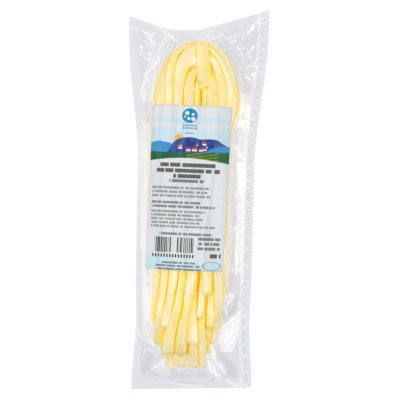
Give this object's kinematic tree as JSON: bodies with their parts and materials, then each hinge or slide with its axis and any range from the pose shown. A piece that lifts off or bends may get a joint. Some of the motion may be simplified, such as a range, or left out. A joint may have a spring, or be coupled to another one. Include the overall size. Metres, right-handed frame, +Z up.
{
  "type": "vacuum pack of cheese strings",
  "caption": "Hank of pale yellow cheese strings, folded over and tied with a string, sealed under vacuum in a long clear pouch with a label on its front.",
  "frame": {"origin": "on the table under the middle of the pouch, which lies on its back", "axes": "+X across the pouch, +Y along it from the strings' cut ends to their folded loops, +Z up out of the front with the label"},
  "size_m": [0.11, 0.3, 0.0208],
  "materials": {
    "film": "clear glossy vacuum film",
    "cheese": "moist pale yellow pulled cheese",
    "label": "satin printed label"
  },
  "bodies": {
    "root": {"pouch": "film", "label": "label"}
  },
  "joints": []
}
